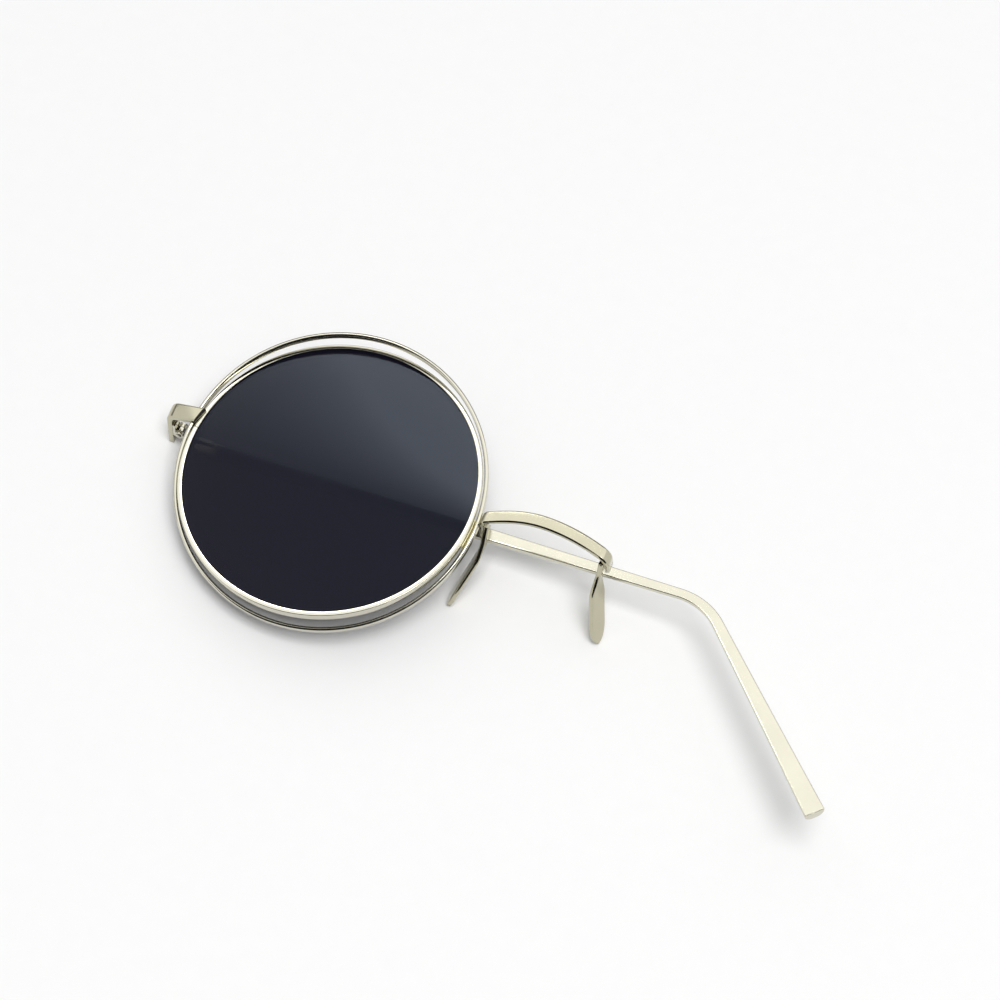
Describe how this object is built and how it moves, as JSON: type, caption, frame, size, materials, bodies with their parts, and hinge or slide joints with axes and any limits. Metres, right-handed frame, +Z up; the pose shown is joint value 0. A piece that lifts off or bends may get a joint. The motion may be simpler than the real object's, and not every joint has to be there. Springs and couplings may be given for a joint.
{
  "type": "one-lens sunglasses",
  "caption": "Round tinted lens in crossed wire rims, with an arched bridge, metal nose pads and a temple folded under it.",
  "frame": {"origin": "centre of the glasses' bounding box, on the table they lie on", "axes": "+X from the hinge towards the bridge along the front, +Y towards the brow side, +Z up, out of the lens's front"},
  "size_m": [0.1328, 0.0578, 0.0177],
  "materials": {
    "outer_rim": "polished pale gold plating",
    "lens_rim": "polished pale gold plating",
    "lens": "smoke grey, polished",
    "rim_strut": "satin, with a film of solder",
    "rim_lock_upper": "polished pale gold plating",
    "rim_lock_lower": "polished pale gold plating",
    "rim_lock_screw": "satin",
    "endpiece": "polished pale gold plating",
    "bridge": "polished pale gold plating",
    "left_nose_pad": "polished pale gold plating",
    "right_nose_pad": "polished pale gold plating",
    "hinge_leaf_front": "polished pale gold plating",
    "hinge_screw": "satin",
    "hinge_leaf_temple": "polished pale gold plating",
    "temple": "polished pale gold plating"
  },
  "bodies": {
    "front": {"outer_rim": "outer_rim", "lens_rim": "lens_rim", "lens": "lens", "rim_strut": "rim_strut", "rim_lock_upper": "rim_lock_upper", "rim_lock_lower": "rim_lock_lower", "rim_lock_screw": "rim_lock_screw", "endpiece": "endpiece", "bridge": "bridge", "left_nose_pad": "left_nose_pad", "right_nose_pad": "right_nose_pad", "hinge_leaf_front": "hinge_leaf_front", "hinge_screw": "hinge_screw"},
    "temple": {"temple": "temple", "hinge_leaf_temple": "hinge_leaf_temple"}
  },
  "joints": [
    {"name": "hinge", "type": "hinge", "parent": "front", "child": "temple", "pos_m": [-0.0641, 0.00458, 0.00322], "axis": [0.0009, 0.9999, -0.0111], "range_deg": [0, 90.5]}
  ]
}
